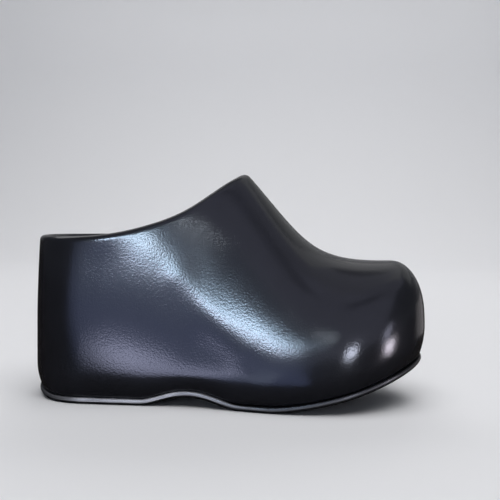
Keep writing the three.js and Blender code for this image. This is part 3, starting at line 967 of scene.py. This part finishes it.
def glowing(name, radiance, colour):
    """An emission material; returns it with its nodes, links and shader."""
    material = bpy.data.materials.new(name)
    material.use_nodes = True
    nodes, links = material.node_tree.nodes, material.node_tree.links
    nodes.remove(nodes["Principled BSDF"])
    shader = nodes.new("ShaderNodeEmission")
    shader.inputs["Strength"].default_value = radiance
    shader.inputs["Color"].default_value = (*colour, 1.0)
    links.new(shader.outputs["Emission"], nodes["Material Output"].inputs["Surface"])
    return material, nodes, links, shader


def card_from(bm, name, material):
    """A card of the room that only glossy rays meet."""
    mesh = bpy.data.meshes.new(name)
    bm.to_mesh(mesh)
    bm.free()
    mesh.materials.append(material)
    card = bpy.data.objects.new(name, mesh)
    card.visible_camera = card.visible_diffuse = card.visible_shadow = False
    card.visible_transmission = card.visible_volume_scatter = False
    bpy.context.scene.collection.objects.link(card)
    return card


for row in CARD_ROWS:
    card = dict(zip(CARD_COLUMNS, row))
    away = direction_to(card["azimuth"], card["elevation"])
    width = 2 * card["distance"] * math.tan(math.radians(card["across"] / 2))
    height = 2 * card["distance"] * math.tan(math.radians(card["up"] / 2))
    bm = bmesh.new()
    bmesh.ops.create_grid(bm, x_segments=1, y_segments=1, size=0.5)
    bmesh.ops.scale(bm, verts=bm.verts, vec=(width, height, 1.0))
    bmesh.ops.rotate(bm, verts=bm.verts, matrix=away.to_track_quat("Z", "Y").to_matrix())
    bmesh.ops.translate(bm, verts=bm.verts, vec=card["seen_from"] + away * card["distance"])
    material, *_ = glowing(card["name"], card["radiance"], card["colour"])
    card_from(bm, card["name"], material)

# The table in front is lit from a hand's width off the shoe, between two lines that spread towards
# the window, with a glare on it.
TABLE_NEAR = ((-0.15, -0.103), (0.055, -0.101))
TABLE_FAR = ((-3.1, -2.5), (-0.2, -2.5))
TABLE_LIFT = 0.001
TABLE_DIMS = (26.0, 50.0)
TABLE_GLOW = (0.49, 0.61, 1.18)
GLARE_GLOW = (8.4, 8.8, 12.4)
GLARE_PLACE = (-0.108, -0.205, 0.0)
GLARE_SIZE = (0.048, 0.17, 1.0)
GLARE_TURN = -24.0
material, nodes, links, shader = glowing("table_glow", 1.0, TABLE_GLOW)
place = nodes.new("ShaderNodeTexCoord")
spot = nodes.new("ShaderNodeMapping")
spot.vector_type = "TEXTURE"
spot.inputs["Location"].default_value = GLARE_PLACE
spot.inputs["Rotation"].default_value = (0.0, 0.0, math.radians(GLARE_TURN))
spot.inputs["Scale"].default_value = GLARE_SIZE
links.new(place.outputs["Object"], spot.inputs["Vector"])
fade = nodes.new("ShaderNodeTexGradient")
fade.gradient_type = "SPHERICAL"
links.new(spot.outputs["Vector"], fade.inputs["Vector"])
glare = nodes.new("ShaderNodeMix")
glare.data_type = "RGBA"
glare.clamp_factor = True
glare.inputs["A"].default_value = (*TABLE_GLOW, 1.0)
glare.inputs["B"].default_value = (*GLARE_GLOW, 1.0)
links.new(fade.outputs["Fac"], glare.inputs["Factor"])
links.new(glare.outputs["Result"], shader.inputs["Color"])
from_shoe = nodes.new("ShaderNodeVectorMath")
from_shoe.operation = "SUBTRACT"
from_shoe.inputs[1].default_value = SIDE
links.new(place.outputs["Object"], from_shoe.inputs[0])
split = nodes.new("ShaderNodeSeparateXYZ")
links.new(from_shoe.outputs["Vector"], split.inputs[0])
bearing = nodes.new("ShaderNodeMath")
bearing.operation = "DIVIDE"
links.new(split.outputs["X"], bearing.inputs[0])
links.new(split.outputs["Y"], bearing.inputs[1])
dimming = nodes.new("ShaderNodeMapRange")
dimming.inputs["From Min"].default_value = math.tan(math.radians(TABLE_DIMS[0]))
dimming.inputs["From Max"].default_value = math.tan(math.radians(TABLE_DIMS[1]))
dimming.inputs["To Min"].default_value = 1.0
dimming.inputs["To Max"].default_value = 0.0
links.new(bearing.outputs[0], dimming.inputs["Value"])
links.new(dimming.outputs["Result"], shader.inputs["Strength"])
bm = bmesh.new()
corners = [bm.verts.new((x, y, TABLE_LIFT)) for x, y in (*TABLE_NEAR, *TABLE_FAR[::-1])]
bm.faces.new(corners)
card_from(bm, "table_glow", material)

# A second lit patch on the table, in front of the ball.
PATCH_CORNERS = ((-0.032, -0.112), (0.012, -0.104), (-0.012, -0.3), (-0.07, -0.3))
PATCH_GLOW = (1.1, 1.3, 2.0)
material, *_ = glowing("table_patch", 1.0, PATCH_GLOW)
bm = bmesh.new()
bm.faces.new([bm.verts.new((x, y, 2 * TABLE_LIFT)) for x, y in PATCH_CORNERS])
card_from(bm, "table_patch", material)


# Lamps: a wide soft one overhead, one that washes the backdrop and the window's soft light. The
# gloss doesn't show them.
LAMP_COLUMNS = ("name", "azimuth", "elevation", "distance", "width", "height", "radiance", "colour")
LAMP_ROWS = (
    ("overhead", -20.0, 75.0, 2.2, 2.2, 2.2, 3.1, (1.0, 0.995, 0.985)),
    ("backdrop_wash", 180.0, 40.0, 1.6, 1.2, 0.6, 2.2, (1.0, 0.99, 0.97)),
    ("window_light", 15.0, 12.0, 2.5, 1.2, 0.6, 2.5, (0.8, 0.88, 1.0)),
)
for row in LAMP_ROWS:
    lamp = dict(zip(LAMP_COLUMNS, row))
    light = bpy.data.lights.new(lamp["name"], "AREA")
    light.shape = "RECTANGLE"
    light.size, light.size_y = lamp["width"], lamp["height"]
    light.color = lamp["colour"]
    light.energy = lamp["radiance"] * math.pi * lamp["width"] * lamp["height"]
    away = direction_to(lamp["azimuth"], lamp["elevation"])
    holder = bpy.data.objects.new(lamp["name"], light)
    holder.location = SIDE + away * lamp["distance"]
    holder.rotation_mode = "QUATERNION"
    holder.rotation_quaternion = away.to_track_quat("Z", "Y")
    holder.visible_camera = holder.visible_glossy = False
    bpy.context.scene.collection.objects.link(holder)

world = bpy.data.worlds.new("room")
world.use_nodes = True
world.node_tree.nodes["Background"].inputs["Color"].default_value = (0.05, 0.053, 0.06, 1.0)
world.node_tree.nodes["Background"].inputs["Strength"].default_value = 1.0
bpy.context.scene.world = world
bpy.context.scene.view_settings.view_transform = "Standard"

bpy.context.view_layer.update()
